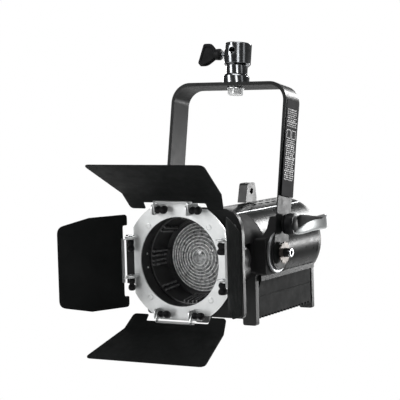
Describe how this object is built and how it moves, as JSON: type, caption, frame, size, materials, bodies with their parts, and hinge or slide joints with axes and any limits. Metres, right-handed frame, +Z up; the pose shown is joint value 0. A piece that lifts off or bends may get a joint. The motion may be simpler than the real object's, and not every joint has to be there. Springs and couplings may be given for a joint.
{
  "type": "fresnel spotlight",
  "caption": "LED fresnel spotlight with a stepped lens, rotating barn doors, a finned base and a tilting yoke that hangs from a spigot receiver.",
  "frame": {"origin": "centre of the spigot receiver's top face", "axes": "+Z up along the spigot, -Y the way the light leaves, +X to the right as seen from the front; the lens side is -Y"},
  "size_m": [0.2571, 0.4305, 0.4416],
  "materials": {
    "black_paint": "satin powder coat",
    "black_cast": "black powder coat on cast and extruded aluminium",
    "leaf_paint": "matte",
    "silver_metal": "satin",
    "chrome": "polished",
    "bronze_washer": "plated",
    "black_plastic": "satin",
    "lens_glass": "clear, stepped",
    "arm_label": "printed film",
    "circuit_board": "matte"
  },
  "bodies": {
    "mount": {"spigot_receiver": "chrome", "spacer_collar": "chrome", "hanger_washer": "silver_metal", "hanger_bolt": "silver_metal"},
    "clamp": {"clamp_screw": "black_plastic"},
    "yoke": {"yoke": "black_paint", "arm_label": "arm_label", "friction_disc_right": "black_plastic", "friction_disc_left": "black_plastic", "clamp_stud": "black_paint"},
    "lever": {"lock_lever": "black_plastic"},
    "head": {"front_flange": "black_cast", "front_hood": "black_cast", "right_shell": "black_cast", "left_shell": "black_cast", "top_strip": "black_cast", "safety_eye": "black_cast", "front_bulkhead": "black_cast", "rear_plate": "black_cast", "heatsink": "black_cast", "pivot_block_right": "black_cast", "pivot_block_left": "black_cast", "pivot_bolt_right": "bronze_washer", "pivot_bolt_left": "bronze_washer", "lens_barrel": "black_cast", "fresnel_lens": "lens_glass", "lens_retainer": "black_cast", "guide_rod_right": "chrome", "guide_rod_left": "chrome", "driver_box": "silver_metal", "fan_frame": "black_plastic", "display": "black_plastic", "power_inlet": "black_plastic", "data_in": "chrome", "data_out": "chrome"},
    "barn_ring": {"barn_door_ring": "silver_metal", "ring_sleeve": "black_cast"},
    "zoom": {"lead_screw": "chrome", "zoom_knob": "black_plastic"},
    "carriage": {"led_carriage": "silver_metal", "led_board": "circuit_board", "collimator_cup": "chrome"},
    "fan": {"fan_rotor": "black_plastic"},
    "switch": {"power_switch": "black_plastic"},
    "leaf_top": {"leaf_top": "leaf_paint"},
    "screw_top_a": {"wing_screw_top_a": "black_plastic"},
    "screw_top_b": {"wing_screw_top_b": "black_plastic"},
    "leaf_bottom": {"leaf_bottom": "leaf_paint"},
    "screw_bottom_a": {"wing_screw_bottom_a": "black_plastic"},
    "screw_bottom_b": {"wing_screw_bottom_b": "black_plastic"},
    "leaf_right": {"leaf_right": "leaf_paint"},
    "screw_right_a": {"wing_screw_right_a": "black_plastic"},
    "screw_right_b": {"wing_screw_right_b": "black_plastic"},
    "leaf_left": {"leaf_left": "leaf_paint"},
    "screw_left_a": {"wing_screw_left_a": "black_plastic"},
    "screw_left_b": {"wing_screw_left_b": "black_plastic"},
    "button_1": {"menu_button_1": "black_plastic"},
    "button_2": {"menu_button_2": "black_plastic"},
    "button_3": {"menu_button_3": "black_plastic"},
    "button_4": {"menu_button_4": "black_plastic"}
  },
  "joints": [
    {"name": "clamp_turn", "type": "hinge", "parent": "mount", "child": "clamp", "pos_m": [-0.02, 0, -0.014], "axis": [-1, 0, 0], "continuous": true},
    {"name": "pan", "type": "hinge", "parent": "mount", "child": "yoke", "pos_m": [0, 0, -0.0563], "axis": [0, 0, 1], "continuous": true},
    {"name": "lever_turn", "type": "hinge", "parent": "yoke", "child": "lever", "pos_m": [0.095, 0, -0.246], "axis": [1, 0, 0], "range_deg": [-35, 60]},
    {"name": "tilt", "type": "hinge", "parent": "yoke", "child": "head", "pos_m": [0, 0, -0.284], "axis": [1, 0, 0], "range_deg": [-50, 75]},
    {"name": "ring_turn", "type": "hinge", "parent": "head", "child": "barn_ring", "pos_m": [0, -0.11764, -0.30775], "axis": [0, 0.9826, 0.1857], "continuous": true},
    {"name": "leaf_top_swing", "type": "hinge", "parent": "barn_ring", "child": "leaf_top", "pos_m": [0, -0.14107, -0.24298], "axis": [-1, 0, 0], "range_deg": [-81, 42]},
    {"name": "leaf_bottom_swing", "type": "hinge", "parent": "barn_ring", "child": "leaf_bottom", "pos_m": [0, -0.11582, -0.37661], "axis": [1, 0, 0], "range_deg": [-70, 51]},
    {"name": "leaf_right_swing", "type": "hinge", "parent": "barn_ring", "child": "leaf_right", "pos_m": [0.068, -0.12844, -0.3098], "axis": [0, 0.1857, -0.9826], "range_deg": [-60.5, 77.5]},
    {"name": "leaf_left_swing", "type": "hinge", "parent": "barn_ring", "child": "leaf_left", "pos_m": [-0.068, -0.12844, -0.3098], "axis": [0, -0.1857, 0.9826], "range_deg": [-73.5, 64.5]},
    {"name": "screw_top_a_turn", "type": "hinge", "parent": "barn_ring", "child": "screw_top_a", "pos_m": [-0.02, -0.14107, -0.24298], "axis": [1, 0, 0], "continuous": true},
    {"name": "screw_top_b_turn", "type": "hinge", "parent": "barn_ring", "child": "screw_top_b", "pos_m": [0.031, -0.14107, -0.24298], "axis": [1, 0, 0], "continuous": true},
    {"name": "screw_bottom_a_turn", "type": "hinge", "parent": "barn_ring", "child": "screw_bottom_a", "pos_m": [-0.02, -0.11582, -0.37661], "axis": [1, 0, 0], "continuous": true},
    {"name": "screw_bottom_b_turn", "type": "hinge", "parent": "barn_ring", "child": "screw_bottom_b", "pos_m": [0.031, -0.11582, -0.37661], "axis": [1, 0, 0], "continuous": true},
    {"name": "screw_right_a_turn", "type": "hinge", "parent": "barn_ring", "child": "screw_right_a", "pos_m": [0.068, -0.13216, -0.29014], "axis": [0, 0.1857, -0.9826], "continuous": true},
    {"name": "screw_right_b_turn", "type": "hinge", "parent": "barn_ring", "child": "screw_right_b", "pos_m": [0.068, -0.12269, -0.34026], "axis": [0, 0.1857, -0.9826], "continuous": true},
    {"name": "screw_left_a_turn", "type": "hinge", "parent": "barn_ring", "child": "screw_left_a", "pos_m": [-0.068, -0.13216, -0.29014], "axis": [0, 0.1857, -0.9826], "continuous": true},
    {"name": "screw_left_b_turn", "type": "hinge", "parent": "barn_ring", "child": "screw_left_b", "pos_m": [-0.068, -0.12269, -0.34026], "axis": [0, 0.1857, -0.9826], "continuous": true},
    {"name": "zoom_turn", "type": "hinge", "parent": "head", "child": "zoom", "pos_m": [0, 0.1896, -0.28023], "axis": [0, 0.9826, 0.1857], "range_deg": [-901, 1261]},
    {"name": "carriage_slide", "type": "slide", "parent": "head", "child": "carriage", "axis": [0, 0.9826, 0.1857], "range_m": [-0.025, 0.035]},
    {"name": "fan_spin", "type": "hinge", "parent": "head", "child": "fan", "pos_m": [0, 0.14625, -0.2528], "axis": [0, 0.9826, 0.1857], "continuous": true},
    {"name": "switch_rock", "type": "hinge", "parent": "head", "child": "switch", "pos_m": [-0.026, 0.17894, -0.30463], "axis": [1, 0, 0], "range_deg": [-6, 6]},
    {"name": "button_1_press", "type": "slide", "parent": "head", "child": "button_1", "axis": [0, -0.9826, -0.1857], "range_m": [0, 0.002], "stiffness_N_per_m": 300, "springref_m": -0.001},
    {"name": "button_2_press", "type": "slide", "parent": "head", "child": "button_2", "axis": [0, -0.9826, -0.1857], "range_m": [0, 0.002], "stiffness_N_per_m": 300, "springref_m": -0.001},
    {"name": "button_3_press", "type": "slide", "parent": "head", "child": "button_3", "axis": [0, -0.9826, -0.1857], "range_m": [0, 0.002], "stiffness_N_per_m": 300, "springref_m": -0.001},
    {"name": "button_4_press", "type": "slide", "parent": "head", "child": "button_4", "axis": [0, -0.9826, -0.1857], "range_m": [0, 0.002], "stiffness_N_per_m": 300, "springref_m": -0.001}
  ],
  "couplings": [
    {"joint": "zoom_turn", "follows": "carriage_slide", "rad_per_m": 628.32}
  ]
}
